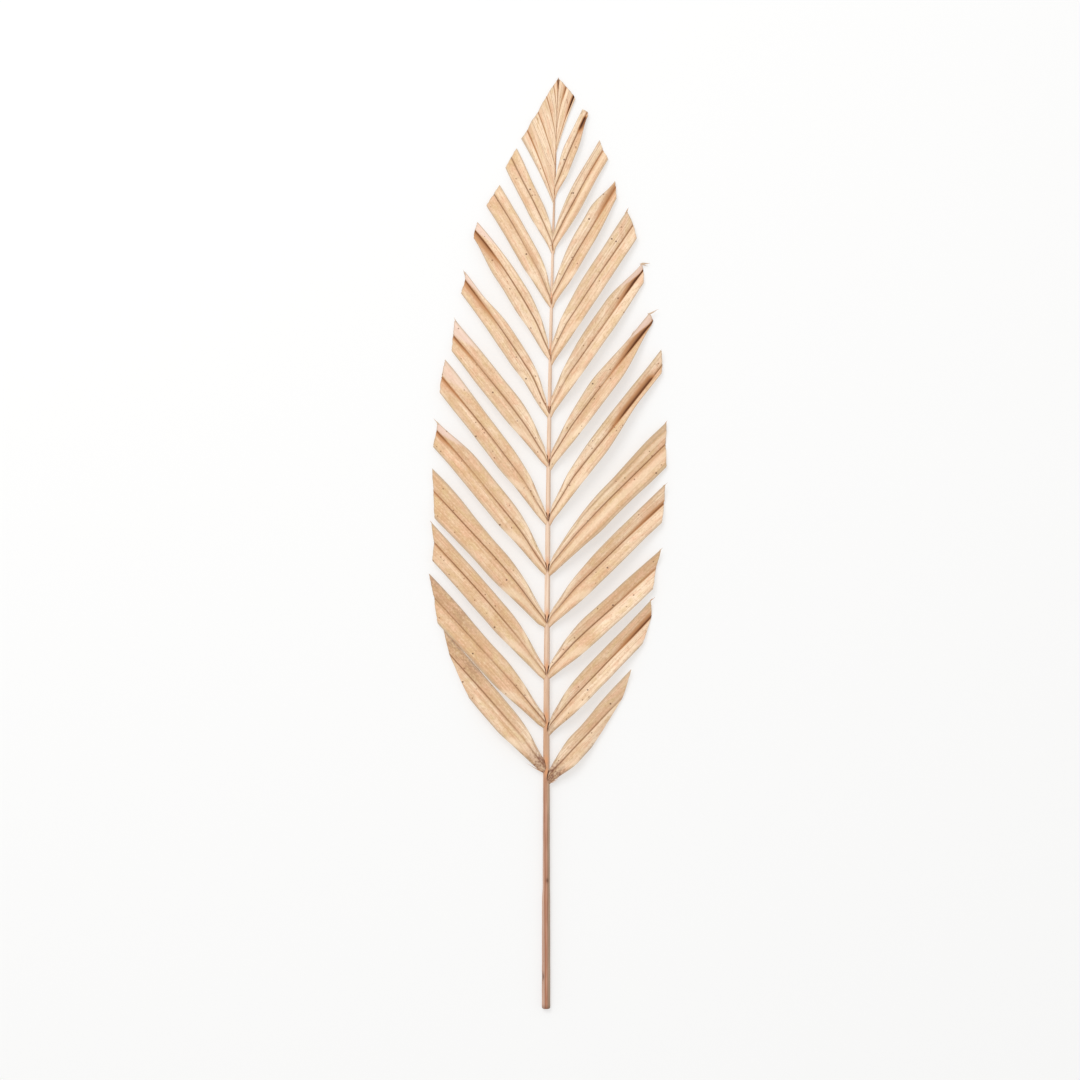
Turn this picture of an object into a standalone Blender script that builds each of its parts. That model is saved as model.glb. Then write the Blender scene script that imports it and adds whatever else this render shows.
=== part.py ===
"""A dried coconut palm frond, cut as a one-metre decorative leaf and lying on a flat surface.

The cut end of the stem points to -Y, the tip to +Y, and the leaflets spread to both sides. Each
leaflet is a long strip folded into a valley along its midrib, narrow and nearly closed where it
leaves the stem and trimmed square at its outer end. At the tip the last leaflets have stayed
joined in a pleated fan on each side of the stem. Every strip is a thin solid of its own.
"""

import math

import bmesh
import bpy
from mathutils import Vector

MM = 0.001

# The whole frond.
FROND_LENGTH = 1000 * MM
STEM_BOW = 13.2 * MM
STEM_START_X = -1.5 * MM
STEM_ARCH = 5 * MM

# The stem: a tapering rod, a little wider than it is high.
STEM_CUT_WIDTH = 8.4 * MM
STEM_TIP_WIDTH = 1.1 * MM
STEM_TAPER = 1.35
STEM_HEIGHT_TO_WIDTH = 0.86
STEM_SIDES = 12
STEM_RINGS = 36

# The leaflets.
BLADE_THICKNESS = 0.8 * MM
GAP = 0.3 * MM
BLADE_STATIONS = 12
BASE_WIDTH = 3.4 * MM
WIDENING = 0.16
FOLD_RISE = 0.2
OUTWARD_BOW = 0.031
ARCH = 0.045
CUT_BULGE = 0.05

# Each leaflet from the cut end up: where it leaves the stem, in mm from the cut end; its lean
# away from the stem in degrees; its width and the lengths of its tipward and lower edges in mm;
# and how far its outer end has folded shut in drying, from 0, open, to 1.
LEFT_LEAFLETS = (
    (256, 39.0, 24, 186, 110, 0.05),
    (304, 39.8, 28, 204, 156, 0.0),
    (356, 38.5, 29, 206, 171, 0.0),
    (412, 38.9, 32, 206, 163, 0.0),
    (468, 37.4, 28, 204, 181, 0.1),
    (522, 34.7, 26, 203, 183, 0.05),
    (584, 34.4, 26, 184, 166, 0.05),
    (637, 31.5, 24, 178, 163, 0.3),
    (699, 29.4, 23, 164, 150, 0.2),
    (755, 26.2, 23, 140, 125, 0.0),
    (813, 21.8, 20, 117, 101, 0.05),
)
RIGHT_LEAFLETS = (
    (244, 39.8, 23, 148, 60, 0.0),
    (296, 40.2, 29, 178, 127, 0.05),
    (357, 43.6, 29, 180, 143, 0.05),
    (412, 42.2, 29, 194, 161, 0.1),
    (467, 40.5, 33, 205, 166, 0.0),
    (521, 33.9, 24, 221, 198, 0.3),
    (580, 33.1, 26, 198, 184, 0.5),
    (637, 31.6, 25, 192, 171, 0.4),
    (693, 28.6, 25, 182, 161, 0.05),
    (754, 28.2, 22, 150, 135, 0.3),
    (812, 23.5, 20, 130, 115, 0.05),
    (872, 18.7, 16, 98, 93, 0.45),
)

# The pleated fan on each side of the tip. Each fold line, in mm: how far below the tip it leaves
# the stem, how far below the tip and out from the stem it ends, and its height when it ends.
FAN_THICKNESS = 0.6 * MM
FAN_STATIONS = 9
FAN_BOW = 2.5 * MM
LEFT_FAN_FOLDS = (
    (136, 66, 38.0, 5.0),
    (128, 57, 30.5, 1.5),
    (112, 48, 27.0, 5.0),
    (97, 38, 20.0, 1.5),
    (82, 30, 17.0, 4.5),
    (70, 21, 11.5, 1.5),
    (58, 13, 8.0, 4.0),
    (46, 8, 4.2, 1.5),
    (36, 1.5, 1.0, 2.2),
)
RIGHT_FAN_FOLDS = (
    (80, 22, 18.2, 5.0),
    (76, 19, 17.2, 1.2),
    (66, 12.5, 12.6, 4.5),
    (54, 6.5, 8.0, 1.6),
    (44, 3.0, 4.2, 3.6),
    (34, 1.5, 1.2, 2.0),
)

LEAF_COLOR = (0.72, 0.52, 0.33, 1.0)
FAN_COLOR = (0.76, 0.57, 0.38, 1.0)
STEM_COLOR = (0.46, 0.26, 0.14, 1.0)
DRY_ROUGHNESS = 0.65


def dry_material(name, color):
    """One matt finish of dried leaf or stem."""
    material = bpy.data.materials.new(name)
    material.diffuse_color = color
    material.use_nodes = True
    shader = material.node_tree.nodes["Principled BSDF"]
    shader.inputs["Base Color"].default_value = color
    shader.inputs["Roughness"].default_value = DRY_ROUGHNESS
    shader.inputs["Metallic"].default_value = 0.0
    return material


def add_solid(name, points, faces, color):
    """A named object from points and faces, closed, with every face pointing out."""
    body = bmesh.new()
    corners = [body.verts.new(point) for point in points]
    for face in faces:
        body.faces.new([corners[index] for index in face])
    bmesh.ops.recalc_face_normals(body, faces=body.faces)
    mesh = bpy.data.meshes.new(name)
    body.to_mesh(mesh)
    body.free()
    mesh.materials.append(dry_material(name + "_finish", color))
    piece = bpy.data.objects.new(name, mesh)
    bpy.context.scene.collection.objects.link(piece)
    return piece


def stem_width(along):
    """The stem tapers from its cut end, slowly at first."""
    taper = (along / FROND_LENGTH) ** STEM_TAPER
    return STEM_CUT_WIDTH + (STEM_TIP_WIDTH - STEM_CUT_WIDTH) * taper


def stem_point(along):
    """The centre of the stem this far from its cut end; the stem rests on z = 0 at both ends."""
    fraction = along / FROND_LENGTH
    half_height = stem_width(along) * STEM_HEIGHT_TO_WIDTH / 2
    return Vector((
        STEM_START_X + STEM_BOW * fraction**3,
        along - FROND_LENGTH / 2,
        half_height + STEM_ARCH * math.sin(math.pi * fraction) ** 2,
    ))


def stem():
    """The rod, as rings of points along its centre line with a flat cap at each end."""
    points = []
    for ring in range(STEM_RINGS + 1):
        along = FROND_LENGTH * ring / STEM_RINGS
        centre = stem_point(along)
        half_width = stem_width(along) / 2
        for side in range(STEM_SIDES):
            turn = 2 * math.pi * side / STEM_SIDES
            across = half_width * math.cos(turn)
            up = half_width * STEM_HEIGHT_TO_WIDTH * math.sin(turn)
            points.append(centre + Vector((across, 0, up)))
    faces = [range(STEM_SIDES)]
    for ring in range(STEM_RINGS):
        first = ring * STEM_SIDES
        for side in range(STEM_SIDES):
            after = (side + 1) % STEM_SIDES
            above = first + STEM_SIDES
            faces.append((first + side, first + after, above + after, above + side))
    faces.append(range(STEM_RINGS * STEM_SIDES, (STEM_RINGS + 1) * STEM_SIDES))
    return add_solid("stem", points, faces, STEM_COLOR)


def sheet(name, rails, thickness, color):
    """A thin solid between lines that run side by side, the rails, with its underside below."""
    stations = len(rails[0])
    top = [point for rail in rails for point in rail]
    under = [point - Vector((0, 0, thickness)) for point in top]
    below = len(top)
    faces = []
    for rail in range(len(rails) - 1):
        for station in range(stations - 1):
            corner = rail * stations + station
            quad = (corner, corner + 1, corner + 1 + stations, corner + stations)
            faces.append(quad)
            faces.append([below + index for index in reversed(quad)])
    last = (len(rails) - 1) * stations
    along = [(step, step + 1) for step in range(stations - 1)]
    across = [(rail * stations, (rail + 1) * stations) for rail in range(len(rails) - 1)]
    border = along + [(first + last, second + last) for first, second in along]
    border += across + [(first + stations - 1, second + stations - 1) for first, second in across]
    for first, second in border:
        faces.append((first, second, below + second, below + first))
    return add_solid(name, top + under, faces, color)


def smooth_step(value):
    """0 up to value 0, 1 from value 1, and a smooth ramp between."""
    held = min(1.0, max(0.0, value))
    return held * held * (3 - 2 * held)


def rest_height(order):
    """How far a leaflet's outer end stays off the surface: most touch it, some lift a little."""
    return max(0.0, 5 * MM * math.sin(2.1 * order + 0.6))


def blade_rail(side, row, order, edge):
    """One line along a leaflet: edge is 1 for the tipward edge, 0 the midrib, -1 the other edge."""
    station, lean_degrees, width, long_edge, short_edge, closing = row
    root_along = station * MM
    full_width = width * MM
    length = (long_edge + short_edge) / 2 * MM
    slant = (long_edge - short_edge) * MM
    reach = length + edge * slant / 2 + (1 - abs(edge)) * slant * CUT_BULGE
    lean = math.radians(lean_degrees)
    outward = Vector((side * math.sin(lean), math.cos(lean), 0))
    tipward = Vector((-side * math.cos(lean), math.sin(lean), 0))
    stem_centre = stem_point(root_along)
    root = stem_centre + Vector((side * (stem_width(root_along) / 2 + GAP), 0, 0))
    points = []
    for step in range(BLADE_STATIONS):
        part = step / (BLADE_STATIONS - 1)
        shut = closing * smooth_step((part - 0.35) / 0.65)
        widened = (full_width - BASE_WIDTH) * (1 - math.exp(-part / WIDENING))
        half = (BASE_WIDTH + widened) * (1 - shut) / 2
        bow = OUTWARD_BOW * length * (1 - math.exp(-part / 0.05)) * (1 - (part / 0.72) ** 1.2)
        offset = bow + edge * half
        start = edge * BASE_WIDTH / 2 / math.tan(lean)
        distance = start + (reach - start) * part
        fold = abs(edge) * FOLD_RISE * full_width * (1 + shut)
        ends = stem_centre.z * (1 - part) + (BLADE_THICKNESS + rest_height(order)) * part
        arch = ARCH * length * 4 * part * (1 - part)
        point = root + outward * distance + tipward * offset
        points.append(Vector((point.x, point.y, ends + arch + fold)))
    return points


def leaflet(side, row, order):
    """One folded strip on its side of the stem, with three lines: two edges and the midrib."""
    side_name = "left" if side < 0 else "right"
    rails = [blade_rail(side, row, order, edge) for edge in (-1, 0, 1)]
    return sheet(f"leaflet_{side_name}_{order:02d}", rails, BLADE_THICKNESS, LEAF_COLOR)


def fan(side, folds):
    """The pleated end of the frond on one side: fold lines spread from the stem to the cut."""
    rails = []
    for root_below, end_below, end_out, end_height in folds:
        root_along = FROND_LENGTH - root_below * MM
        end_along = FROND_LENGTH - end_below * MM
        root = stem_point(root_along)
        root.x += side * (stem_width(root_along) / 2 + GAP)
        root.z += FAN_THICKNESS
        end = stem_point(end_along) + Vector((side * end_out * MM, 0, 0))
        end.z = end_height * MM
        outward_bow = FAN_BOW * end_out / folds[0][2]
        rail = []
        for step in range(FAN_STATIONS):
            part = step / (FAN_STATIONS - 1)
            point = root.lerp(end, part)
            point.x += side * outward_bow * 4 * part * (1 - part)
            rail.append(point)
        rails.append(rail)
    side_name = "left" if side < 0 else "right"
    return sheet(f"tip_fan_{side_name}", rails, FAN_THICKNESS, FAN_COLOR)


for leftover in list(bpy.data.objects):
    bpy.data.objects.remove(leftover)

stem()
for side, rows in ((-1, LEFT_LEAFLETS), (1, RIGHT_LEAFLETS)):
    for order, row in enumerate(rows, start=1):
        leaflet(side, row, order)
fan(-1, LEFT_FAN_FOLDS)
fan(1, RIGHT_FAN_FOLDS)
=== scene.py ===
"""A dried coconut palm frond lying on a pale floor, seen from straight above."""

import math

import bpy
import numpy as np
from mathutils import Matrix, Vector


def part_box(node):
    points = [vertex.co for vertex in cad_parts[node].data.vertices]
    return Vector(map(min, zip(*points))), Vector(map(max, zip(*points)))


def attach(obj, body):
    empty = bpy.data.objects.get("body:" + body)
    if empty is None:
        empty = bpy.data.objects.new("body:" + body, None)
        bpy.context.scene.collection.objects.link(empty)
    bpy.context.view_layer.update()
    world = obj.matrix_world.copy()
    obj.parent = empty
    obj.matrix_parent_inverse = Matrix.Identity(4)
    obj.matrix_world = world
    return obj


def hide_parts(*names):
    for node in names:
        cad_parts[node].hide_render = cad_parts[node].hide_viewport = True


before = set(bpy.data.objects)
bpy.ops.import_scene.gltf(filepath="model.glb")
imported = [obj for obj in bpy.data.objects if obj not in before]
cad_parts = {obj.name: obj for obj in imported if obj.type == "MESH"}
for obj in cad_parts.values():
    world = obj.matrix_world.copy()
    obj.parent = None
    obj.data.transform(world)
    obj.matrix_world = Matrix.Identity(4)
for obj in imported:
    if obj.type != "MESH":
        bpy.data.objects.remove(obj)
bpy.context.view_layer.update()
MM = 0.001


# THE STEM. The real one is the outer metre of the leaf's woody rachis: a hard, fibrous rod, dried
# to reddish brown where it was bare and to a pale tan among the leaflets, and cut across at its
# foot. It is turned here ring by ring, with the shallow grooves that shrinking leaves along it.
STEM_LOW, STEM_HIGH = (np.array(corner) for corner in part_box("stem"))
STEM_LENGTH = STEM_HIGH[1] - STEM_LOW[1]
STEM_FOOT_WIDTH = 8.3 * MM
STEM_TIP_WIDTH = 0.9 * MM
STEM_TAPER = 1.35
STEM_FLATNESS = 0.86
STEM_BOW = 13.2 * MM
STEM_START_X = -1.5 * MM
STEM_ARCH = 5 * MM
STEM_RINGS = 560
STEM_SIDES = 40

# The rounded cut at the foot: each ring's share of the stem's length, and of its full width.
STEM_CUT = [(0.0000, 0.30), (0.0000, 0.62), (0.0002, 0.80), (0.0009, 0.93), (0.0022, 1.0)]

# The shares of the length where an old leaflet left its scar, and where the bark is nicked.
SCAR = 0.138
NICK = 0.035


def stem_width(along):
    """The stem's width at this share of its length."""
    return STEM_FOOT_WIDTH + (STEM_TIP_WIDTH - STEM_FOOT_WIDTH) * along**STEM_TAPER


def stem_centre(along):
    """The middle of the stem at this share of its length; it rests on the floor at both ends."""
    lift = stem_width(along) * STEM_FLATNESS / 2 + STEM_ARCH * np.sin(np.pi * along) ** 2
    return np.array([STEM_START_X + STEM_BOW * along**3, STEM_LOW[1] + STEM_LENGTH * along, lift])


def smooth(low, high, value):
    """0 below low, 1 above high, and a soft ramp between."""
    held = np.clip((value - low) / (high - low), 0, 1)
    return held * held * (3 - 2 * held)


def bump(value, middle, width):
    """1 where the value is the middle, and falling off smoothly to both sides of it."""
    return np.exp(-(((value - middle) / width) ** 2))


def waves(value, seed, octaves=4):
    """A smooth wandering line through this value, between about -1 and 1."""
    total = 0
    for step in range(octaves):
        total = total + np.sin(value * 1.9**step + seed * (1.7 + step) + step * step) / 1.5**step
    return total / 2.2


def linear(red, green, blue):
    """A colour as it looks on a screen, 0 to 255, as the light values that Blender mixes."""
    return tuple(((part / 255 + 0.055) / 1.055) ** 2.4 for part in (red, green, blue)) + (1.0,)


def piece_from(name, points, faces, marks, material, node=None):
    """A smooth mesh piece with its marks, riding on the frond, that stands for its CAD node."""
    mesh = bpy.data.meshes.new(name)
    mesh.from_pydata([tuple(point) for point in points], [], faces)
    for label, values in marks.items():
        values = np.asarray(values, dtype=np.float32)
        kind, field = ("FLOAT_VECTOR", "vector") if values.ndim == 2 else ("FLOAT", "value")
        mesh.attributes.new(label, kind, "POINT").data.foreach_set(field, values.ravel())
    mesh.shade_smooth()
    mesh.set_sharp_from_angle(angle=math.radians(50))
    mesh.materials.append(material)
    piece = bpy.data.objects.new(name, mesh)
    bpy.context.scene.collection.objects.link(piece)
    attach(piece, "root")
    if node:
        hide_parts(node)
    return piece


class Wire:
    """A shader socket that sums can be written on, in the node tree that it belongs to."""

    def __init__(self, tree, socket=None):
        self.tree = tree
        self.socket = socket

    def node(self, kind, settings=None, inputs=None, output=0):
        """Adds a node, sets it up, feeds its sockets, and gives back one of its outputs."""
        made = self.tree.nodes.new(kind)
        for key, value in (settings or {}).items():
            setattr(made, key, value)
        for key, value in (inputs or {}).items():
            if isinstance(value, Wire):
                self.tree.links.new(value.socket, made.inputs[key])
            else:
                made.inputs[key].default_value = value
        return Wire(self.tree, made.outputs[output])

    def sum(self, operation, first, second=0.0):
        """One Math node."""
        return self.node("ShaderNodeMath", {"operation": operation}, {0: first, 1: second})

    def __add__(self, other):
        return self.sum("ADD", self, other)

    def __sub__(self, other):
        return self.sum("SUBTRACT", self, other)

    def __rsub__(self, other):
        return self.sum("SUBTRACT", other, self)

    def __mul__(self, other):
        return self.sum("MULTIPLY", self, other)

    __radd__ = __add__
    __rmul__ = __mul__

    def size(self):
        """This without its sign."""
        return self.sum("ABSOLUTE", self)

    def ramp(self, low, high):
        """0 where this is low, 1 where it is high, and a soft ramp between."""
        ends = {"Value": self, "From Min": low, "From Max": high}
        return self.node("ShaderNodeMapRange", {"interpolation_type": "SMOOTHSTEP"}, ends)

    def line(self, middle, core, reach):
        """1 within core of the middle value, and 0 beyond reach of it."""
        return 1 - (self - middle).size().ramp(core, reach)

    def blend(self, first, second):
        """The first colour where this is 0 and the second where it is 1."""
        colours = {0: self, 6: first, 7: second}
        return self.node("ShaderNodeMix", {"data_type": "RGBA"}, colours, 2)

    def part(self, axis):
        """One axis of a vector."""
        return self.node("ShaderNodeSeparateXYZ", {}, {"Vector": self}, axis)

    def scaled(self, factors):
        """This vector with each of its three axes multiplied."""
        return self.node("ShaderNodeVectorMath", {"operation": "MULTIPLY"}, {0: self, 1: factors})

    def noise(self, stretch, detail=2.0):
        """Soft noise over this place, stretched by so much along each of its three axes."""
        inputs = {"Vector": self.scaled(stretch), "Detail": detail, "Scale": 1.0}
        return self.node("ShaderNodeTexNoise", {}, inputs)

    def mark(self, label, output="Fac"):
        """A mark that the mesh carries."""
        return self.node("ShaderNodeAttribute", {"attribute_name": label}, {}, output)


def dry_finish(name, paint):
    """A material whose colour, roughness and relief come from paint(start)."""
    material = bpy.data.materials.new(name)
    material.use_nodes = True
    tree = material.node_tree
    shader = tree.nodes["Principled BSDF"]
    colour, roughness, relief, depth = paint(Wire(tree))
    tree.links.new(colour.socket, shader.inputs["Base Color"])
    tree.links.new(roughness.socket, shader.inputs["Roughness"])
    bump = {"Height": relief, "Distance": depth, "Strength": 0.8}
    tree.links.new(Wire(tree).node("ShaderNodeBump", {}, bump).socket, shader.inputs["Normal"])
    shader.inputs["Specular IOR Level"].default_value = 0.3
    return material


def paint_stem(start):
    """Brown bark in three lengthwise strips on the foot, pale pinkish tan among the leaflets, with
    painted shade on the right side among the leaflets, in the foot's grooves and toward the tip.
    """
    place = start.mark("place", "Vector")
    side = start.mark("side")
    along = place.part("Y")
    streak = place.noise((900.0, 12.0, 1.0), 3.0)
    patch = place.noise((160.0, 26.0, 1.0))
    fleck = place.noise((700.0, 240.0, 1.0), 1.0).ramp(0.66, 0.78)
    strand = (streak * 0.6 + patch * 0.4).ramp(0.30, 0.70)
    left_strip = strand.blend(linear(180, 142, 122), linear(206, 170, 150))
    middle_strip = strand.blend(linear(160, 110, 86), linear(204, 156, 130))
    right_strip = strand.blend(linear(146, 120, 98), linear(188, 160, 136))
    wobble = side + (patch - 0.5) * 0.35
    leftward = wobble + (along - 0.12) * 1.6
    bark = leftward.ramp(-0.58, -0.40).blend(left_strip, middle_strip)
    bark = (leftward.line(-0.32, 0.05, 0.20) * 0.75).blend(bark, linear(170, 102, 66))
    bark = wobble.ramp(0.30, 0.52).blend(bark, right_strip)
    warm = strand.blend(linear(196, 150, 118), linear(224, 182, 148))
    pale = strand.blend(linear(222, 188, 160), linear(248, 222, 200))
    # Painted shade: among the leaflets the right side of the stem, away from the lamp, is painted
    # darker.
    shade = side.ramp(0.0, 0.9) * 0.55
    paler = (along + patch * 0.05).ramp(0.28, 0.50).blend(warm, pale)
    leafy = shade.blend(paler, linear(196, 168, 146))
    wood = (along + (patch - 0.5) * 0.06).ramp(0.205, 0.285).blend(bark, leafy)
    node = start.mark("node") * 0.75
    noded = node.blend(wood, linear(226, 158, 108))
    # Painted shade: toward the tip the stem is painted brown where it runs in the valley between
    # the two tip fans.
    tip_valley_shaded = (along.ramp(0.80, 0.93) * 0.85).blend(noded, linear(176, 130, 92))
    flecked = (fleck * 0.35).blend(tip_valley_shaded, linear(112, 72, 48))
    # The dark mark paints the real scar, nick and darker cut end, and painted shade in the foot's
    # grooves.
    scarred_and_groove_shaded = (start.mark("dark") * 0.85).blend(flecked, linear(96, 58, 38))
    roughness = 0.5 + streak * 0.25
    return scarred_and_groove_shaded, roughness, streak * 0.7 + patch * 0.3, 0.30 * MM


def build_stem(node_shares):
    """Rings of points from the cut foot to the tip, with a rounded cut end at the foot."""
    points = []
    marks = {"place": [], "side": [], "node": [], "dark": []}
    turns = 2 * np.pi * np.arange(STEM_SIDES) / STEM_SIDES
    rings = STEM_CUT + [(share, 1.0) for share in np.linspace(0.004, 1.0, STEM_RINGS)]
    for share, scale in rings:
        foot = 1 - smooth(0.22, 0.27, share)
        centre = stem_centre(share) + np.array([0.15 * MM * foot, 0, 0])
        half = stem_width(share) / 2 * scale
        furrow = bump(turns, 2.02, 0.13) + 0.8 * bump(turns, 1.12, 0.12)
        rough = 1 - 0.075 * furrow * foot + 0.02 * waves(turns * 3 + share * 9, 2)
        rough = rough + 0.022 * waves(share * 160, 5)
        scar = bump(share, SCAR, 0.0022) * bump(turns, 1.25, 0.45)
        swell = smooth(0.130, 0.116, share) * (0.03 + 0.12 * np.clip(-np.cos(turns), 0, 1))
        nick = bump(share, NICK, 0.004) * bump(turns, 2.7, 0.5)
        rough = rough + swell - 0.20 * scar - 0.22 * nick
        across = half * np.cos(turns) * rough
        up = half * STEM_FLATNESS * np.sin(turns) * rough
        node = max(bump(share, middle, 0.006) for middle in node_shares)
        end_dark = 0.45 * (1 - smooth(0.001, 0.006, share))
        for side in range(STEM_SIDES):
            points.append(centre + np.array([across[side], 0, max(up[side], -centre[2])]))
            marks["place"].append((turns[side] * 4 * MM, share * STEM_LENGTH, 0.0))
            marks["side"].append(np.cos(turns[side]))
            marks["node"].append(node * smooth(0.75, 0.2, abs(np.cos(turns[side]))))
            # Painted shade: the foot's grooves are darkened along with the scar, the nick and the
            # cut end.
            dark = scar[side] + nick[side] + end_dark + 0.25 * furrow[side] * foot
            marks["dark"].append(min(1.0, dark))
    faces = [tuple(range(STEM_SIDES))]
    for ring in range(len(rings) - 1):
        first = ring * STEM_SIDES
        for side in range(STEM_SIDES):
            after = (side + 1) % STEM_SIDES
            above = first + STEM_SIDES
            faces.append((first + side, above + side, above + after, first + after))
    faces.append(tuple(reversed(range((len(rings) - 1) * STEM_SIDES, len(rings) * STEM_SIDES))))
    bark = dry_finish("dry_stem", paint_stem)
    return piece_from("palm_stem", points, faces, marks, bark, "stem")


node_shares = []
for side_name, count in (("left", 11), ("right", 12)):
    for order in range(1, count + 1):
        node_low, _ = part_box(f"leaflet_{side_name}_{order:02d}")
        node_shares.append((node_low[1] - STEM_LOW[1] + 13 * MM) / STEM_LENGTH)
build_stem(node_shares)


# THE LEAFLETS. Each is one strip of papery leaf, creased into a valley along its midrib. Its foot
# wraps over the front of the stem, and its outer end was cut off with scissors. Drying has curled
# some ends shut, and left long fine fibres at the corners of the cuts.
BLADE_THICKNESS = 0.35 * MM
BLADE_ROWS = 84
FOOT_DROP = 1.7 * MM
FOLD_RISE = 0.17
ARCH = 0.045

# For each leaflet from the foot of the stem up: its lean away from the stem in degrees; the widths
# of its tipward and lower halves; the lengths of its tipward edge, its midrib and its lower edge;
# how far the midrib bows tipward, near the stem and at the cut, all in mm, and how late it turns.
# Then how far each half narrows toward the cut, the depth of the fold, how much paler or darker the
# tipward half is painted near the stem and near the cut and the lower half likewise, partly for its
# dried colour and partly as painted light and shade on the fold's two faces, and where its darkest
# spot is, in mm; a pair of spots has half of their spacing as well.
LEAFLETS = {
    "left": (
        (39.0, 12.3, 16.0, 184, 160, 110, 5.3, 0.0, 1.5, -0.10, 0.00, 0.6,
         (-0.2, 0.0, 0.2, 0.3), (-9, 128)),
        (39.8, 11.7, 16.0, 204, 180, 157, 4.3, -2.6, 1.3, -0.25, 0.00, 0.6,
         (-0.5, -0.3, -0.2, -0.4), (-10, 108)),
        (38.5, 12.0, 15.0, 205, 186, 172, 5.1, -2.0, 1.5, -0.05, 0.05, 0.9,
         (-0.3, -0.5, 0.0, -0.2), (-12, 75)),
        (38.9, 11.9, 17.6, 206, 186, 163, 5.3, -2.6, 1.6, -0.40, -0.10, 0.8,
         (-0.3, -0.3, -0.4, -0.6), (-6, 63)),
        (37.4, 13.0, 14.4, 199, 192, 180, 6.3, 0.3, 1.8, 0.45, 0.00, 0.9,
         (-0.3, -0.2, -0.3, -0.1), (-13, 70)),
        (34.7, 11.3, 13.8, 205, 192, 179, 6.5, -2.5, 1.3, -0.30, 0.10, 0.9,
         (0.0, -0.2, 0.1, 0.0), (-12, 118)),
        (34.4, 12.2, 14.0, 184, 171, 158, 5.0, -4.0, 1.3, 0.00, 0.14, 0.8,
         (-0.2, 0.0, 0.2, -0.4), (-6, 96)),
        (31.5, 9.2, 12.6, 178, 170, 160, 7.8, 0.5, 1.8, 0.42, 0.05, 0.9,
         (0.1, 0.3, 0.4, -0.3), (-7, 45)),
        (29.4, 9.4, 13.2, 164, 158, 151, 6.9, -2.2, 2.4, 0.12, 0.52, 0.8,
         (0.1, 0.3, 0.4, 0.1), (-5, 120)),
        (26.2, 9.6, 13.4, 140, 134, 126, 5.5, -1.0, 1.3, -0.08, 0.00, 0.5,
         (0.3, -0.1, 0.0, -0.3), (-3, 60)),
        (21.8, 8.6, 10.4, 117, 110, 102, 3.5, -2.8, 1.0, -0.15, 0.00, 0.5,
         (0.1, -0.2, 0.3, -0.5), (3, 70)),
    ),
    "right": (
        (39.8, 11.6, 13.4, 149, 119, 58, 3.8, -2.6, 1.1, -0.30, 0.00, 0.7,
         (0.6, 0.0, 0.1, 0.8), (5, 106)),
        (40.2, 13.3, 13.4, 179, 166, 137, 5.5, -2.8, 1.0, 0.05, 0.00, 1.1,
         (0.0, -0.3, 0.1, 0.7), (-5, 62)),
        (43.6, 12.6, 15.0, 181, 162, 144, 6.0, -3.2, 1.2, 0.00, 0.05, 1.1,
         (0.0, -0.5, -0.4, 0.8), (2, 102)),
        (42.2, 12.8, 14.4, 195, 179, 162, 6.4, -3.2, 1.2, -0.12, 0.08, 1.0,
         (0.0, 0.0, -0.3, 0.6), (-8, 87)),
        (40.5, 13.2, 17.4, 205, 186, 168, 6.3, -4.2, 1.3, -0.28, -0.05, 0.7,
         (0.8, -0.3, -0.3, -0.7), (-15, 156)),
        (33.9, 11.8, 11.3, 221, 208, 200, 6.8, -5.0, 1.0, 0.05, 0.58, 1.0,
         (0.3, 0.5, 0.0, 0.0), (1, 124)),
        (33.1, 12.2, 12.3, 198, 193, 188, 5.8, -5.8, 1.3, 0.30, 0.90, 1.0,
         (0.3, 0.5, 0.1, -0.3), (9, 100)),
        (31.6, 13.4, 11.2, 190, 185, 173, 6.8, -2.2, 1.0, 0.62, 0.25, 1.0,
         (0.4, 0.3, 0.1, 0.6), (4, 144)),
        (28.6, 12.6, 12.4, 182, 172, 161, 6.3, -5.4, 1.0, -0.10, 0.10, 0.7,
         (0.2, 0.0, -0.2, 0.0), (8, 147, 2.7)),
        (28.2, 12.2, 10.4, 150, 145, 134, 5.2, 1.0, 1.2, 0.66, 0.34, 0.9,
         (0.1, 0.5, -0.3, -0.5), (7, 100)),
        (23.5, 9.2, 10.2, 130, 122, 115, 3.9, -4.6, 1.3, 0.05, 0.05, 0.9,
         (0.7, 0.6, -0.2, -0.2), (5, 66)),
        (18.7, 7.4, 7.6, 98, 97, 93, 2.4, -3.8, 1.3, 0.15, 0.70, 0.8,
         (0.4, 1.0, 0.0, -0.4), (2, 40)),
    ),
}

# The shares of the length between which the tipward half narrows, and the lower half, where they
# do so sooner or later than most.
NARROWING = {
    "leaflet_left_05": ((0.75, 1.05), (0.52, 1.02)),
    "leaflet_left_08": ((0.62, 0.88), (0.52, 1.02)),
    "leaflet_left_09": ((0.60, 0.90), (0.65, 1.00)),
    "leaflet_right_06": ((0.52, 1.02), (0.42, 0.80)),
    "leaflet_right_07": ((0.50, 0.88), (0.60, 1.02)),
    "leaflet_right_08": ((0.72, 1.05), (0.60, 1.02)),
    "leaflet_right_10": ((0.76, 1.04), (0.52, 1.02)),
    "leaflet_right_12": ((0.52, 1.02), (0.55, 0.95)),
}
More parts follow.
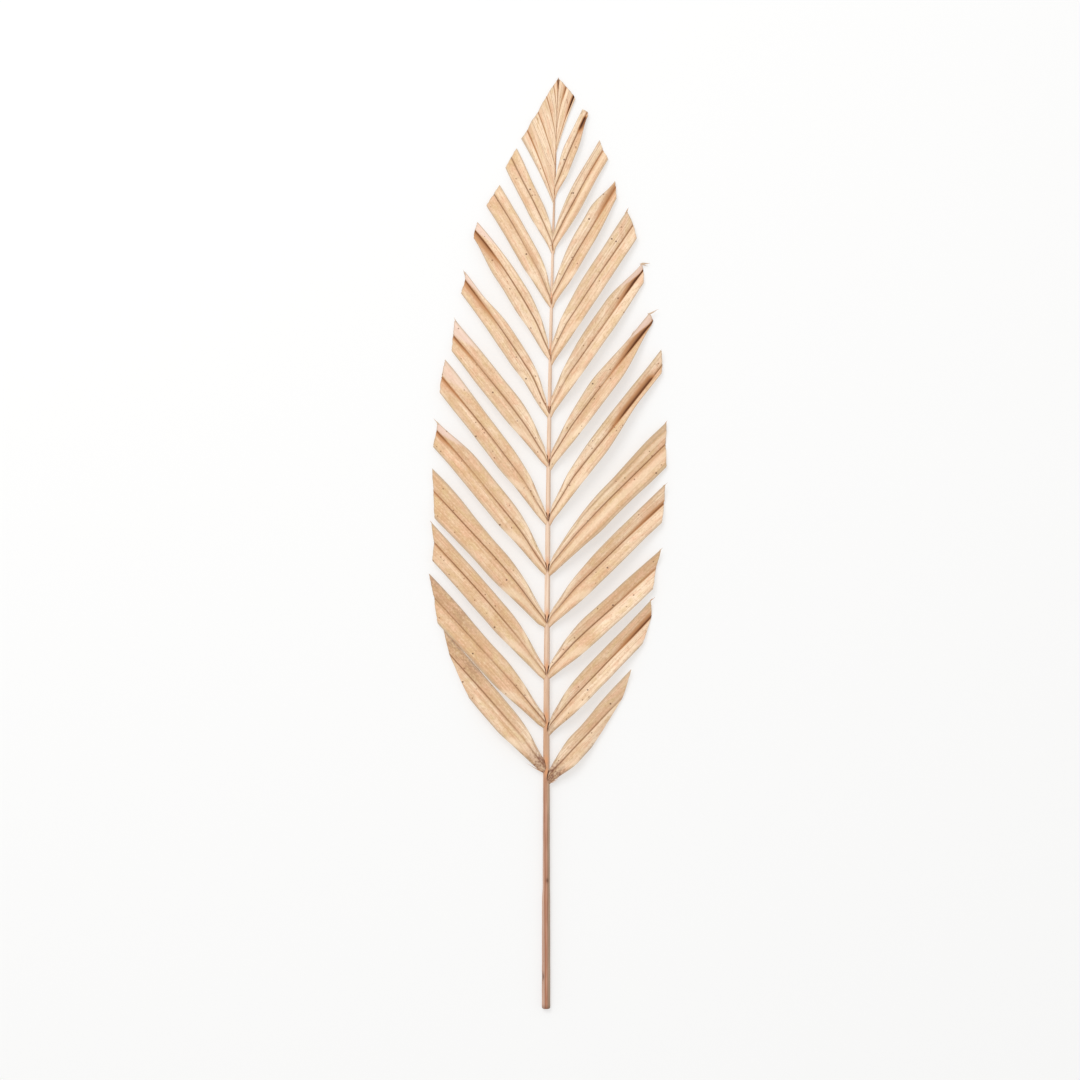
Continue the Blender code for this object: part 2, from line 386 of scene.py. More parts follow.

# The browned folds, brown partly from drying and partly as painted shade inside the closing fold:
# how brown, the shares of the length where the brown begins, is at its full and stops, and how far
# it spreads above and below the crease in mm. A leaflet that browns strongly has a faded flap
# beside the fold at its cut, unless its brown stops at 1.0 or before.
BROWNED = {
    "leaflet_left_03": (0.25, 0.80, 1.00, 1.1, 1.0, 3.0),
    "leaflet_left_04": (0.35, 0.80, 1.00, 1.1, 1.0, 3.0),
    "leaflet_left_05": (0.85, 0.78, 0.97, 1.1, 0.8, 4.0),
    "leaflet_left_06": (0.70, 0.66, 0.98, 1.1, 0.8, 4.0),
    "leaflet_left_07": (0.85, 0.70, 0.96, 1.1, 0.6, 3.0),
    "leaflet_left_08": (0.85, 0.52, 0.95, 1.1, 0.8, 5.0),
    "leaflet_left_09": (0.95, 0.58, 0.88, 1.1, 0.8, 6.5),
    "leaflet_right_02": (1.00, 0.50, 0.94, 1.0, 4.6, 1.0),
    "leaflet_right_03": (0.30, 0.50, 0.90, 1.1, 2.0, 1.0),
    "leaflet_right_04": (0.80, 0.58, 0.95, 1.0, 3.6, 0.9),
    "leaflet_right_05": (0.15, 0.60, 0.95, 1.1, 2.0, 1.0),
    "leaflet_right_06": (1.10, 0.50, 0.72, 0.90, 5.5, 1.0),
    "leaflet_right_07": (1.20, 0.52, 0.90, 1.1, 5.6, 1.2),
    "leaflet_right_08": (1.30, 0.62, 0.95, 1.1, 4.4, 0.9),
    "leaflet_right_09": (0.15, 0.50, 0.95, 1.1, 2.0, 2.0),
    "leaflet_right_10": (0.66, 0.58, 0.90, 1.0, 5.4, 2.0),
    "leaflet_right_11": (0.35, 0.50, 0.95, 1.1, 2.0, 1.0),
    "leaflet_right_12": (1.35, 0.70, 0.84, 0.92, 1.6, 4.0),
}

# The leaflets that have painted highlights on fine ridges and painted shade in fine furrows beside
# the midrib all the way to the cut.
PLEATED = ("leaflet_right_05", "leaflet_right_11")

# The two lowest leaflets on the left are worn and stained at their outer ends; and how strongly
# the feet of the two lowest leaflets on each side are stained, by their place in the row.
WORN_ENDS = {"leaflet_left_01": 0.7, "leaflet_left_02": 0.6}
STAINED_FEET = {1: 1.5, 2: 0.35}
FOOT_STAIN_REACH = 18 * MM
FOOT_BROWN_REACH = 9 * MM

# How far out from the foot, in mm, a leaflet has come to its own line and to its own height, and
# how far the outer ends lift off the floor at most.
LINE_SETTLES = 9.0
HEIGHT_SETTLES = 14.0
END_LIFT = 5 * MM


def paint_leaf(start):
    """Cream to tan leaf with fine veins, specks and browned places; painted shade in the crease,
    furrows, folds and edges, and painted highlights on the rib and ridges.
    """
    place = start.mark("place", "Vector")
    tone = start.mark("tone")
    trough = start.mark("trough")
    offset = place.part("X")
    vein = place.noise((800.0, 8.0, 3.1), 2.0)
    band = place.noise((260.0, 11.0, 5.3), 3.0)
    patch = place.noise((95.0, 45.0, 9.7), 3.0)
    mottle = place.noise((520.0, 330.0, 2.3), 2.0)
    grain = place.noise((1300.0, 700.0, 1.3), 1.0)
    # The tone mark lightens or darkens the leaf, partly for its dried colour and partly as painted
    # light and shade on the halves of each fold and on the faces of the tip fan's pleats.
    pale = (band * 0.45 + patch * 0.55 + tone * 0.28).ramp(0.26, 0.80)
    leaf = pale.blend(linear(222, 180, 138), linear(255, 230, 201))
    blush = place.noise((170.0, 60.0, 4.1), 2.0)
    rosy = (blush.ramp(0.50, 0.68) * 0.65).blend(leaf, linear(238, 190, 156))
    olive = ((1 - blush).ramp(0.50, 0.68) * 0.55).blend(rosy, linear(226, 196, 146))
    greyed = (mottle.ramp(0.50, 0.72) * 0.42).blend(olive, linear(196, 160, 122))
    lit = ((1 - mottle).ramp(0.50, 0.72) * 0.35).blend(greyed, linear(254, 226, 196))
    veined = (vein.ramp(0.42, 0.64) * 0.42).blend(lit, linear(198, 154, 114))
    grained = (grain.ramp(0.60, 0.74) * 0.30).blend(veined, linear(158, 112, 78))
    shadow = offset.line(0.3 * MM, 0.2 * MM, 3.6 * MM)
    shaded = (shadow * 0.30).blend(grained, linear(196, 148, 104))
    # Painted shade: a dark line down the valley of the crease, over the broad painted shadow beside
    # it.
    crease = offset.line(0.25 * MM, 0.30 * MM, 0.95 * MM)
    crease_shaded = (crease * band.ramp(0.2, 0.55) * 0.80).blend(shaded, linear(142, 96, 62))
    # Painted highlight: a pale line along the rib just below the crease, on the fold's lit face.
    rib = offset.line(-1.5 * MM, 0.25 * MM, 0.9 * MM)
    rib_highlighted = (rib * tone.ramp(-0.1, 0.8) * 0.65).blend(crease_shaded, linear(255, 230, 200))
    faded = (start.mark("faded") * (0.5 + patch * 0.5)).blend(rib_highlighted, linear(238, 208, 194))
    # The rim mark paints grey: painted shade along the leaf edges and cut ends, and the loose
    # fibres' own grey.
    edge_shade_and_grey = (start.mark("rim") * 0.72).blend(faded, linear(186, 164, 138))
    # Painted highlight and shade: pale lines on the fine ridges and darker lines in the fine
    # furrows of each half, near the foot, and all the way out on the pleated leaflets.
    hem = start.mark("hem")
    ridge_highlight = hem.line(0.46, 0.05, 0.18) * 0.35 + hem.line(-0.40, 0.10, 0.26) * 0.40
    ridge_highlighted = ridge_highlight.blend(edge_shade_and_grey, linear(255, 230, 200))
    furrow = hem.line(0.72, 0.02, 0.10) + hem.line(-0.82, 0.01, 0.06)
    furrow_shaded = (furrow * 0.45).blend(ridge_highlighted, linear(172, 140, 108))
    cells = {"Vector": place.scaled((120.0, 95.0, 11.0)), "Scale": 1.0, "Randomness": 1.0}
    speck = start.node("ShaderNodeTexVoronoi", {}, cells, "Distance")
    freckle = 1 - speck.ramp(0.055, 0.115)
    freckled = (freckle * 0.70).blend(furrow_shaded, linear(128, 78, 50))
    from_spot = start.node(
        "ShaderNodeVectorMath", {"operation": "LENGTH"}, {0: start.mark("spot", "Vector")}, "Value"
    )
    spotted = ((1 - from_spot.ramp(0.5 * MM, 1.3 * MM)) * 0.85).blend(freckled, linear(92, 54, 36))
    blotch = (mottle * 0.5 + patch * 0.5).ramp(0.42, 0.60)
    stained = (start.mark("stain") * (0.35 + blotch * 0.6)).blend(spotted, linear(130, 86, 66))
    # The trough mark browns the closing folds, partly as their dried colour and partly as painted
    # shade inside the fold; its darkest steps also paint the shadow in the slits above the feet.
    browned_and_fold_shaded = (trough.ramp(0.0, 0.55) * (0.65 + band * 0.6)).blend(stained, linear(194, 138, 92))
    burnt_and_fold_shaded = trough.ramp(0.45, 1.0).blend(browned_and_fold_shaded, linear(120, 72, 40))
    charred_and_shadowed = trough.ramp(0.95, 1.45).blend(burnt_and_fold_shaded, linear(66, 38, 24))
    roughness = 0.50 + vein * 0.25
    relief = vein * 0.6 + band * 0.3 + mottle * 0.25 - crease * 0.6 + rib * 0.5
    return charred_and_shadowed, roughness, relief, 0.35 * MM


LEAF_FINISH = dry_finish("dry_leaf", paint_leaf)


def shell(top, under, marks):
    """Faces and points of a thin closed sheet: top and under are grids of points."""
    rows, columns = top.shape[:2]
    points = np.concatenate([top.reshape(-1, 3), under.reshape(-1, 3)])
    below = rows * columns
    index = np.arange(below).reshape(rows, columns)
    corners = [index[:-1, :-1], index[:-1, 1:], index[1:, 1:], index[1:, :-1]]
    quads = np.stack(corners, -1).reshape(-1, 4)
    mirrored = np.cross(top[0, -1] - top[0, 0], top[-1, 0] - top[0, 0])[2] < 0
    if mirrored:
        quads = quads[:, ::-1]
    faces = [tuple(int(corner) for corner in quad) for quad in quads]
    faces += [tuple(int(corner) + below for corner in reversed(quad)) for quad in quads]
    rim = [int(value) for value in index[0, :]]
    rim += [int(value) for value in index[1:, -1]]
    rim += [int(value) for value in index[-1, -2::-1]]
    rim += [int(value) for value in index[-2:0:-1, 0]]
    if mirrored:
        rim = rim[::-1]
    for first, second in zip(rim, rim[1:] + rim[:1]):
        faces.append((second, first, first + below, second + below))
    doubled = {label: np.concatenate([values, values]) for label, values in marks.items()}
    return points, faces, doubled


def grid_normals(grid):
    """The upward normal at each point of a grid."""
    along = np.gradient(grid, axis=0)
    across = np.gradient(grid, axis=1)
    normal = np.cross(across, along)
    normal /= np.linalg.norm(normal, axis=2, keepdims=True) + 1e-12
    return normal * np.where(normal[:, :, 2:] < 0, -1, 1)


def fibre(start, heading, length, radius, grey, trough, seed, taper=1.0):
    """A fine fibre that wanders a little from its start, as points, faces and marks."""
    steps, sides = 10, 6
    heading = np.array(heading, dtype=float)
    heading /= np.linalg.norm(heading)
    aside = np.cross(heading, (0, 0, 1))
    points = []
    for step in range(steps):
        share = step / (steps - 1)
        bend = aside * length * 0.07 * waves(share * 2.4, seed, 2) * share
        centre = np.array(start) + heading * length * share + bend
        thick = radius * max(0.06, 1 - taper * share) * (0.35 + 0.65 * min(1.0, share * 5))
        for side in range(sides):
            turn = 2 * math.pi * side / sides
            rise = np.array([0, 0, math.sin(turn) * thick * 0.6])
            points.append(centre + aside * math.cos(turn) * thick + rise)
    faces = [tuple(range(sides))]
    for step in range(steps - 1):
        for side in range(sides):
            after = (side + 1) % sides
            low, high = step * sides, (step + 1) * sides
            faces.append((low + side, high + side, high + after, low + after))
    faces.append(tuple(reversed(range((steps - 1) * sides, steps * sides))))
    count = len(points)
    marks = {
        "place": np.tile([0.006, 0.05, float(seed)], (count, 1)),
        "tone": np.full(count, 0.3),
        "trough": np.full(count, trough),
        "rim": np.full(count, grey),
        "hem": np.zeros(count),
        "faded": np.full(count, 0.5 * grey),
        "stain": np.zeros(count),
        "spot": np.ones((count, 3)),
    }
    return np.array(points), faces, marks


def joined(parts):
    """Several point, face and mark sets as one."""
    points = []
    faces = []
    base = 0
    for part_points, part_faces, _ in parts:
        points.append(part_points)
        faces += [tuple(corner + base for corner in face) for face in part_faces]
        base += len(part_points)
    marks = {label: np.concatenate([part[2][label] for part in parts]) for label in parts[0][2]}
    return np.concatenate(points), faces, marks


def blade(side, order, row):
    """The top points of one leaflet as a grid, and its marks, from the stem to the cut end."""
    lean_degrees, up_width, low_width, up_length, rib_length, low_length = row[:6]
    peak, end_bow, fall, up_shut, low_shut, depth, tones, spot = row[6:]
    name = f"leaflet_{'left' if side < 0 else 'right'}_{order:02d}"
    up_span, low_span = NARROWING.get(name, ((0.52, 1.02), (0.52, 1.02)))
    browning = BROWNED.get(name, (0, 0.5, 1, 1.1, 1, 1))
    brown, brown_from, brown_full, brown_to, brown_up, brown_low = browning
    low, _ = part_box(name)
    lean = math.radians(lean_degrees)
    root_y = low[1] + FOOT_DROP / math.sin(lean)
    share = (root_y - STEM_LOW[1]) / STEM_LENGTH
    middle = stem_centre(share)
    radius = stem_width(share) / 2
    outward = np.array([side * math.sin(lean), math.cos(lean)])
    tipward = np.array([-side * math.cos(lean), math.sin(lean)])
    root = np.array([middle[0] + side * radius, root_y])
    seed = order + (0 if side < 0 else 20)
    worn = WORN_ENDS.get(name, 0.0)

    spaced = np.linspace(0, 1, BLADE_ROWS)
    part = np.concatenate([spaced[:-1] ** 1.25, [0.990, 0.996, 1.0]])[:, None]
    reach = np.array([0.05, 0.12, 0.25, 0.40, 0.55, 0.68, 0.79, 0.87, 0.93, 0.97, 1.0])
    edge = np.concatenate([-reach[::-1], [0.0], reach])[None, :]
    upper = np.clip(edge, 0, 1)
    lower = np.clip(-edge, 0, 1)

    # The foot: from its lower corner at the side of the stem, over the front, and up to its top.
    foot_scale = math.sqrt(radius / (3.3 * MM))
    corner_a = np.array([radius * 0.97, -2.8 * MM])
    corner_b = np.array([radius * 0.16, 2.2 * MM * foot_scale])
    corner_c = np.array([radius * 0.93, 12.8 * MM * foot_scale])
    foot = corner_b + (corner_a - corner_b) * lower[..., None]
    foot = foot + (corner_c - corner_b) * upper[..., None]
    foot_out = foot[..., 0] - radius
    foot_distance = foot_out * math.sin(lean) + foot[..., 1] * math.cos(lean)
    foot_aside = -foot_out * math.cos(lean) + foot[..., 1] * math.sin(lean)
    rounding = np.sqrt(np.clip(1 - (foot[..., 0] / radius) ** 2, 0, 1))
    surface = middle[2] + radius * STEM_FLATNESS * rounding

    bulge = upper * (1 - upper) * 0.10 * (up_length - rib_length)
    bulge = bulge + lower * (1 - lower) * 0.10 * (rib_length - low_length)
    total = rib_length + upper * (up_length - rib_length)
    total = total + lower * (low_length - rib_length) + bulge
    ragged = 0.55 * waves(edge * 38, seed, 3) + 0.35 * waves(edge * 120, seed + 1, 2)
    total = (total + ragged) * MM
    distance = foot_distance + (total - foot_distance) * part
    along = distance / (rib_length * MM)
    start_bow = 3.9 if side < 0 else min(5.4, peak + 1.2)
    rising = start_bow + (peak - start_bow) * smooth(0.05, 0.28, along)
    falling = (peak - end_bow) * np.clip((along - 0.26) / 0.74, 0, None) ** fall
    crease = rising - falling + 0.35 * waves(along * 7, seed + 3, 2) * smooth(0.1, 0.4, along)
    up_grown = 0.46 if side < 0 or order < 4 else 0.58
    low_start, low_grown = (0.52, 0.32) if side > 0 and name not in PLEATED else (0.45, 0.42)
    up_grow = 0.26 + 0.74 * smooth(-0.06, up_grown, along)
    low_grow = low_start + (1 - low_start) * smooth(-0.03, low_grown, along)
    up_closing = smooth(up_span[0], up_span[1], along)
    low_closing = smooth(low_span[0], low_span[1], along)
    up_half = up_width * up_grow * (1 - up_shut * up_closing)
    up_half = up_half * (1 + 0.02 * waves(along * 9, seed, 3))
    low_half = low_width * low_grow * (1 - low_shut * low_closing)
    low_half = low_half * (1 + 0.02 * waves(along * 9, seed + 5, 3))
    offset = (upper * up_half - lower * low_half) * MM
    aside = crease * MM + offset
    settle = 1 - smooth(0.0, LINE_SETTLES / rib_length, part)
    aside = aside + (foot_aside - aside[0]) * settle

    slope = 2 * FOLD_RISE * depth
    steep_up = 1 + 1.3 * max(0.0, up_shut) * up_closing
    steep_low = 1 + 1.3 * max(0.0, low_shut) * low_closing
    fold = slope * MM * up_half * upper**0.85 * steep_up
    fold = fold + slope * MM * low_half * lower**0.85 * steep_low * smooth(-0.02, 0.16, along)
    fold = fold - 0.7 * MM * np.clip(np.abs(edge) - 0.82, 0, 1) * 5 * smooth(0.15, 0.4, along)
    ripple = 0.30 * MM * waves(along * 13 + edge * 2.0, seed + 7, 3)
    ripple = ripple * np.abs(edge) * smooth(0.1, 0.4, along)
    corrugation = 0.10 * MM * waves(edge * 17, seed + 9, 2) * smooth(0.03, 0.15, along)
    lifted = max(0.0, END_LIFT * math.sin(2.1 * order + 0.6))
    ends = middle[2] * (1 - part) + (0.8 * MM + lifted) * part
    arch = ARCH * rib_length * MM * 4 * part * (1 - part)
    rib = 0.25 * MM * bump(offset, -1.2 * MM, 0.8 * MM) * smooth(0.03, 0.1, along)
    saddle = 2.2 * MM * bump(distance, 0, 9 * MM) * bump(edge, 0, 0.6)
    height = ends + arch + fold + ripple + corrugation + rib + saddle
    settle_height = 1 - smooth(0.0, HEIGHT_SETTLES / rib_length, part)
    height = height + (surface + 0.45 * MM - height) * settle_height
    plan = root + outward * distance[..., None] + tipward * aside[..., None]
    top = np.concatenate([plan, height[..., None]], axis=2)

    curled = brown * smooth(brown_from, brown_full, along)
    curled = curled * (1 - smooth(brown_to, brown_to + 0.05, along))
    spread = np.where(offset > 0, brown_up * MM, brown_low * MM)
    flap_line = 1.0 - np.clip((along - 0.80) / 0.17, 0, 1)
    flap = smooth(0.5, 0.8, brown) * smooth(0, 0.22, edge - flap_line) * smooth(0.80, 0.86, along)
    flap = flap * (brown_to > 1)
    curled = curled * (1 - 0.9 * flap)
    across_trough = 0.76 * bump(offset, 0, spread) + 0.28 * bump(offset, 0, 0.8 * MM)
    foot_brown = 0.10 * bump(distance, 0, FOOT_BROWN_REACH)
    up_near, up_far, low_near, low_far = tones
    cutward = smooth(0.15, 0.80, along)
    # Painted light: near the stem the tipward half is painted paler, lifting the shade on its steep
    # face.
    up_tone = up_near + (up_far - up_near) * cutward + 1.1 * (1 - smooth(0.12, 0.45, along))
    low_tone = low_near + (low_far - low_near) * cutward
    tone = low_tone + (up_tone - low_tone) * smooth(-0.08, 0.08, edge)
    tone = tone + 0.8 * flap
    tone = tone + 0.5 * (share - 0.45) + 0.25 * waves(along * 3, seed + 11, 2)
    end_stain = worn * smooth(0.62, 0.85, along) * smooth(-0.3, 0.5, edge)
    foot_stain = STAINED_FEET.get(order, 0.0) * bump(distance, 0, FOOT_STAIN_REACH)
    tone = tone - 0.6 * end_stain
    hem_fade = smooth(0.12, 0.42, along) * (0 if name in PLEATED else 1)
    # Painted shade: the edges, which turn down, and the cut end are painted greyer.
    rim = smooth(0.80, 0.98, np.abs(edge)) + 0 * part
    rim = np.maximum(rim, smooth(0.988, 1.0, part) * 0.8 + 0 * edge)
    place = np.stack([offset, distance, np.full(offset.shape, float(seed))], -1)
    from_spot = place - np.array([spot[0] * MM, spot[1] * MM, float(seed)])
    if len(spot) == 3:
        from_spot[..., 0] = np.abs(from_spot[..., 0]) - spot[2] * MM
    marks = {
        "place": place.reshape(-1, 3),
        "tone": np.clip(tone, -1, 1.2).reshape(-1),
        "trough": np.clip(curled * across_trough + foot_brown, 0, 1.5).reshape(-1),
        "rim": rim.reshape(-1),
        "hem": (edge * (1 - hem_fade)).reshape(-1),
        "faded": flap.reshape(-1),
        "stain": np.clip(end_stain * 0.6 + foot_stain, 0, 1).reshape(-1),
        "spot": from_spot.reshape(-1, 3),
    }
    return name, top, marks


# Loose fibres at the ends and edges of some leaflets: the row and column of the leaflet's grid that
# the fibre starts from, as shares of its length and of its width, its heading in degrees from
# straight out to the right, its length and thickness in mm, and how brown it is.
WISPS = {
    "leaflet_right_08": ((1.0, 0.95, 4, 10, 1.5, 0.0), (0.99, 1.0, -14, 9, 1.0, 0.0)),
    "leaflet_right_07": (
        (1.0, 0.9, 30, 12, 1.2, 0.0),
        (0.98, 1.0, 12, 8, 0.7, 0.0),
        (0.85, 1.0, 58, 9, 0.5, 0.2),
    ),
    "leaflet_right_09": ((1.0, 1.0, 62, 5, 0.9, 0.25), (0.97, 1.0, 50, 5, 0.7, 0.25)),
    "leaflet_right_02": ((1.0, 1.0, 33, 7, 0.7, 0.55),),
    "leaflet_right_03": ((0.99, 1.0, 40, 5, 0.6, 0.1),),
    "leaflet_right_04": ((0.98, 1.0, 36, 7, 0.5, 0.2),),
    "leaflet_right_05": ((0.99, 1.0, 55, 4, 0.8, 0.3),),
    "leaflet_right_12": ((0.95, 0.9, 60, 5, 0.8, 0.0),),
    "leaflet_left_05": ((0.98, 0.9, 128, 10, 0.9, 0.0),),
    "leaflet_left_07": ((0.99, 1.0, 118, 5, 0.6, 0.1),),
    "leaflet_left_08": ((0.99, 0.8, 112, 7, 0.8, 0.0),),
    "leaflet_left_03": ((1.0, 1.0, 125, 4, 0.6, 0.3),),
    "leaflet_left_01": (
        (0.06, 0.0, 150, 20, 0.5, 0.35),
        (0.62, 0.98, 131, 34, 0.45, 0.0),
        (0.70, 0.92, 133, 30, 0.40, 0.0),
        (0.72, 0.84, 130, 28, 0.35, 0.0),
        (0.80, 0.95, 132, 30, 0.40, 0.3),
    ),
    "leaflet_left_02": ((0.62, 0.02, 132, 46, 0.45, 0.0), (0.80, 0.01, 131, 26, 0.4, 0.4)),
    "leaflet_right_01": (
        (0.10, 0.0, 12, 6, 0.5, 0.5),
        (0.15, 0.0, 22, 7, 0.5, 0.4),
        (0.22, 0.0, 30, 6, 0.4, 0.3),
    ),
}


def build_leaflet(side, order, row):
    """One leaflet: its folded sheet, a dark fibre painting the shadow in the slit above its foot,
    and its loose fibres.
    """
    name, top, marks = blade(side, order, row)
    under = top - grid_normals(top) * BLADE_THICKNESS
    parts = [shell(top, under, marks)]
    # Painted shadow: a dark fibre along the slit above the foot stands in for the shadow in the
    # pocket between the foot and the stem.
    shadow_slit_top = top[0, -1] + np.array([-side * 0.7 * MM, -0.5 * MM, 0.5 * MM])
    shadow_slit = top[0, top.shape[1] // 2] + np.array([-side * 0.1 * MM, 0.3 * MM, 0.5 * MM]) - shadow_slit_top
    bold = smooth(0.9 * MM, 2.8 * MM, stem_width((shadow_slit_top[1] - STEM_LOW[1]) / STEM_LENGTH) / 2)
    thick, dark = (1.2 * MM, 1.25) if side > 0 else (0.85 * MM, 1.0)
    thick, dark = thick * (0.4 + 0.6 * bold), dark * (0.45 + 0.55 * bold)
    parts.append(fibre(shadow_slit_top, shadow_slit, np.linalg.norm(shadow_slit), thick, 0.0, dark, order, 0.9))
    for count, wisp in enumerate(WISPS.get(name, ())):
        row_share, column_share, heading, length, thick, brown = wisp
        start = top[int(row_share * (top.shape[0] - 1)), int(column_share * (top.shape[1] - 1))]
        turn = math.radians(heading)
        away = (math.cos(turn), math.sin(turn), 0.03)
        start = start - np.array(away) * 1.5 * MM + np.array([0, 0, 0.2 * MM])
        grey, seed = 0.8 - brown, order + 7 * count
        parts.append(fibre(start, away, length * MM, thick * MM, grey, brown, seed))
    points, faces, doubled = joined(parts)
    return piece_from("palm_" + name, points, faces, doubled, LEAF_FINISH, name)


SIDES = ((-1, "left"), (1, "right"))
for side, side_name in SIDES:
    for order, row in enumerate(LEAFLETS[side_name], start=1):
        build_leaflet(side, order, row)


# THE TIP FAN. At the very tip the last leaflets never parted: on each side of the stem they are
# one sheet of leaf in sharp pleats, cut off along a slant, and browned where the last pleat curled,
# partly as painted shade inside the curl. Painted shade lies along each valley and the middle
# valley, and the two faces of each pleat are painted lighter and darker.
FAN_THICKNESS = 0.30 * MM
FAN_ROWS = 60
PLEAT_COLUMNS = 7
FAN_BOW = -1.7 * MM

# Each fold line, in mm: how far below the tip it leaves the stem, how far below the tip and out
# from the stem it ends, and its height where it ends; the low ones are the valleys.
FAN_FOLDS = {
    "left": (
        (137, 66, 37.5, 3.4),
        (134, 56.5, 31.4, 1.0),
        (115, 47.5, 27.5, 3.4),
        (95, 37, 20.5, 1.0),
        (84, 30, 17.5, 3.2),
        (66, 20.5, 12.2, 1.0),
        (58, 14, 8.6, 3.0),
        (42, 8.4, 5.0, 1.0),
        (34, 1.5, 0.5, 2.4),
    ),
    "right": (
        (82, 23.5, 18.6, 3.4),
        (78, 19.8, 17.6, 0.9),
        (66, 14.2, 12.8, 3.2),
        (54, 8.9, 8.0, 1.2),
        (44, 4.9, 4.4, 3.0),
        (34, 1.5, 0.5, 1.8),
    ),
}


def build_fan(side, side_name, folds):
    """The pleated sheet on one side of the tip."""
    part = np.linspace(0, 1, FAN_ROWS)
    folds = np.array(folds)
    columns = []
    valley = []
    for fold in range(len(folds) - 1):
        for step in range(PLEAT_COLUMNS):
            columns.append(fold + step / PLEAT_COLUMNS)
    columns = np.array(columns + [len(folds) - 1.0])
    top = np.zeros((FAN_ROWS, len(columns), 3))
    for number, column in enumerate(columns):
        root_below, end_below, end_out, end_height = (
            np.interp(column, range(len(folds)), folds[:, axis]) * MM for axis in range(4)
        )
        ragged = 0.40 * MM * waves(column * 9, 3 + side, 3)
        root_share = 1 - root_below / STEM_LENGTH
        end_share = 1 - (end_below + ragged) / STEM_LENGTH
        root = stem_centre(root_share)
        root[0] += side * stem_width(root_share) * 0.22
        root[2] += stem_width(root_share) * 0.40 + 0.35 * MM
        end = stem_centre(end_share)
        end[0] += side * end_out
        end[2] = end_height
        line = root + (end - root) * part[:, None]
        line[:, 0] += side * FAN_BOW * (end_out / (38 * MM)) ** 0.5 * 4 * part * (1 - part)
        line[:, 2] += 0.15 * MM * waves(part * 9 + column, 5, 2) * smooth(0.1, 0.4, part)
        top[:, number] = line
        nearest = 1 + 2 * round((column - 1) / 2)
        valley.append(column - nearest)
    valley = np.array(valley)
    spread = np.linalg.norm(np.gradient(top, axis=1), axis=2) * PLEAT_COLUMNS
    offset = valley[None, :] * spread
    length = np.linalg.norm(top - top[:1], axis=2)
    pleat = np.floor(columns / 2 + 0.5)[None, :] + 0 * offset
    # Painted light and shade: one face of each pleat is painted paler and the other darker.
    tone = 0.30 * np.sign(-valley)[None, :] + 0 * offset + 0.65
    # Brown where the last pleat curled, partly its dried colour and partly painted shade inside the
    # curl; painted shade along each valley and along the middle valley beside the stem.
    curl_brown_and_shade = bump(offset, 0, 1.7 * MM) * (pleat < 1.5) * (1.5 if side > 0 else 0.35)
    curl_brown_and_shade = curl_brown_and_shade * smooth(0.50, 0.95, part)[:, None]
    valley_shade = 0.40 * bump(offset, 0, 0.6 * MM) * smooth(0.1, 0.4, part)[:, None]
    middle_valley_shade = bump(columns, len(folds) - 1, 0.22)[None, :]
    middle_valley_shade = middle_valley_shade * (0.45 + 0.75 * smooth(0.6, 1.0, part))[:, None]
    # Painted shade: the cut end and the outer edge of the fan are painted greyer.
    rim = smooth(0.975, 1.0, part)[:, None] + 0 * offset
    rim = np.maximum(rim, smooth(0.5, 0.0, columns)[None, :])
    place = np.stack([offset, length, pleat * 3.0 + 40 + side], -1)
    marks = {
        "place": place.reshape(-1, 3),
        "tone": tone.reshape(-1),
        "trough": np.clip(curl_brown_and_shade + middle_valley_shade + valley_shade, 0, 1.5).reshape(-1),
        "rim": rim.reshape(-1),
        "hem": np.zeros(offset.size),
        "faded": np.zeros(offset.size),
        "stain": np.zeros(offset.size),
        "spot": np.ones((offset.size, 3)),
    }
    under = top - grid_normals(top) * FAN_THICKNESS
    points, faces, doubled = shell(top, under, marks)
    name = f"tip_fan_{side_name}"
    return piece_from("palm_" + name, points, faces, doubled, LEAF_FINISH, name)


for side, side_name in SIDES:
    build_fan(side, side_name, FAN_FOLDS[side_name])


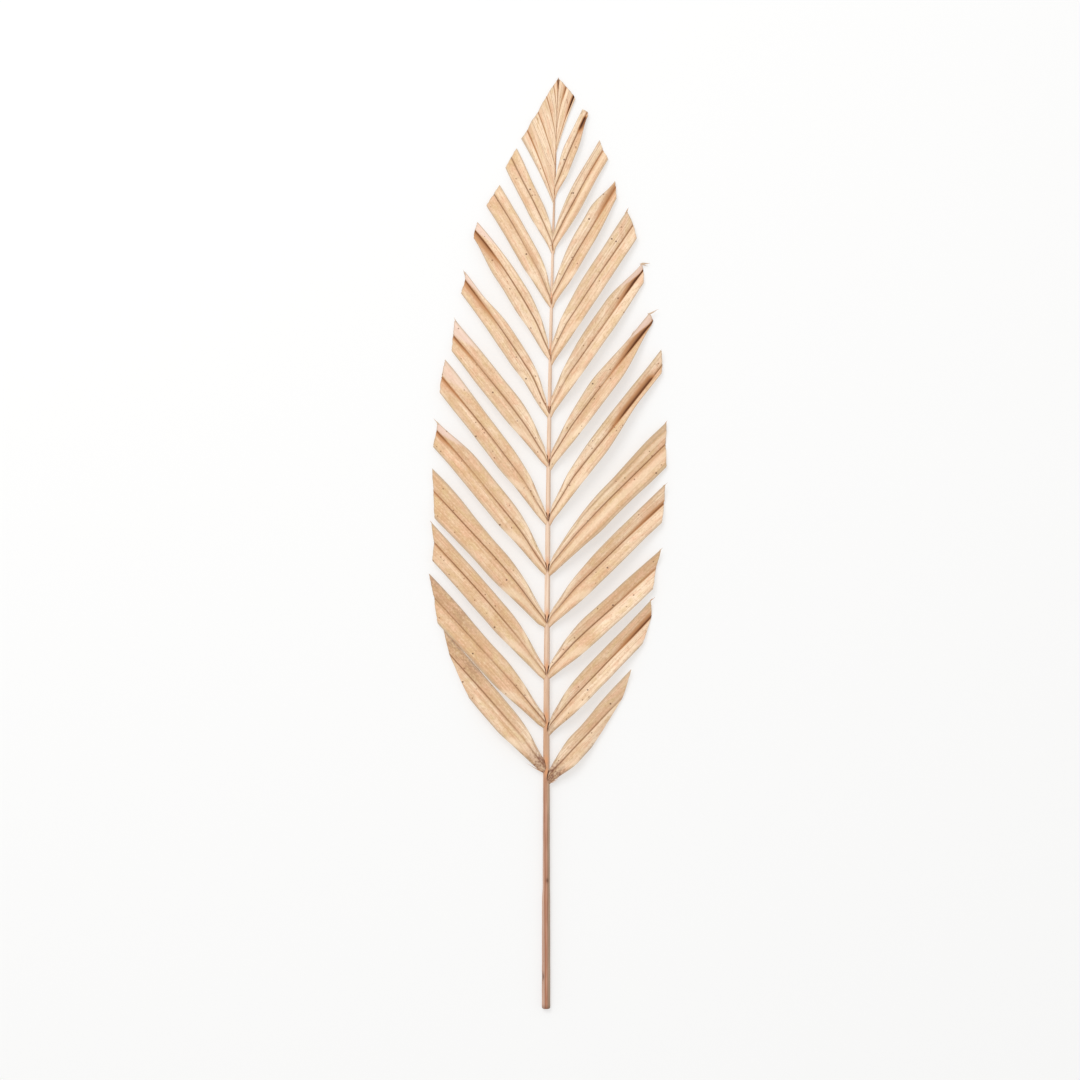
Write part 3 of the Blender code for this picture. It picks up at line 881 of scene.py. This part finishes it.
# THE CAMERA, THE FLOOR AND THE LIGHT. The frond lies on a plain pale floor in a bright studio:
# soft light from all round, and one large soft lamp beyond the tip, a little to the left.
camera = bpy.data.objects.new("camera", bpy.data.cameras.new("camera"))
camera.data.lens = 85
camera.data.sensor_width = 36
VIEW_WIDTH = 1161 * MM
camera.location = (-8.1 * MM, 3.2 * MM, VIEW_WIDTH * camera.data.lens / camera.data.sensor_width)
camera.data.clip_end = 50
bpy.context.scene.collection.objects.link(camera)
bpy.context.scene.camera = camera

FLOOR_HALF = 24.0
floor_mesh = bpy.data.meshes.new("floor")
floor_corners = [(-FLOOR_HALF, -FLOOR_HALF, 0), (FLOOR_HALF, -FLOOR_HALF, 0)]
floor_corners += [(FLOOR_HALF, FLOOR_HALF, 0), (-FLOOR_HALF, FLOOR_HALF, 0)]
floor_mesh.from_pydata(floor_corners, [], [(0, 1, 2, 3)])
floor = bpy.data.objects.new("floor", floor_mesh)
bpy.context.scene.collection.objects.link(floor)
floor_finish = bpy.data.materials.new("pale_floor")
floor_finish.use_nodes = True
floor_shader = floor_finish.node_tree.nodes["Principled BSDF"]
floor_shader.inputs["Base Color"].default_value = (0.46, 0.46, 0.46, 1)
floor_shader.inputs["Emission Color"].default_value = (1.0, 1.0, 0.995, 1)
floor_shader.inputs["Emission Strength"].default_value = 0.49
floor_shader.inputs["Roughness"].default_value = 0.9
floor_shader.inputs["Specular IOR Level"].default_value = 0.1
floor_mesh.materials.append(floor_finish)

lamp = bpy.data.objects.new("key_lamp", bpy.data.lights.new("key_lamp", "AREA"))
lamp.data.shape = "SQUARE"
lamp.data.size = 1.6
lamp.data.energy = 42
lamp.location = (-0.9, 1.6, 2.7)
aim = math.atan2(math.hypot(lamp.location.x, lamp.location.y), lamp.location.z)
lamp.rotation_euler = (-aim, 0, math.atan2(-lamp.location.x, lamp.location.y))
bpy.context.scene.collection.objects.link(lamp)

world = bpy.data.worlds.new("studio")
world.use_nodes = True
sky = Wire(world.node_tree)
height = sky.node("ShaderNodeTexCoord").part("Z")
sweep = height.ramp(0.02, 0.30).blend((0.875, 0.873, 0.868, 1), (0.75, 0.747, 0.74, 1))
world.node_tree.links.new(sweep.socket, world.node_tree.nodes["Background"].inputs["Color"])
bpy.context.scene.world = world
bpy.context.scene.view_settings.view_transform = "Standard"
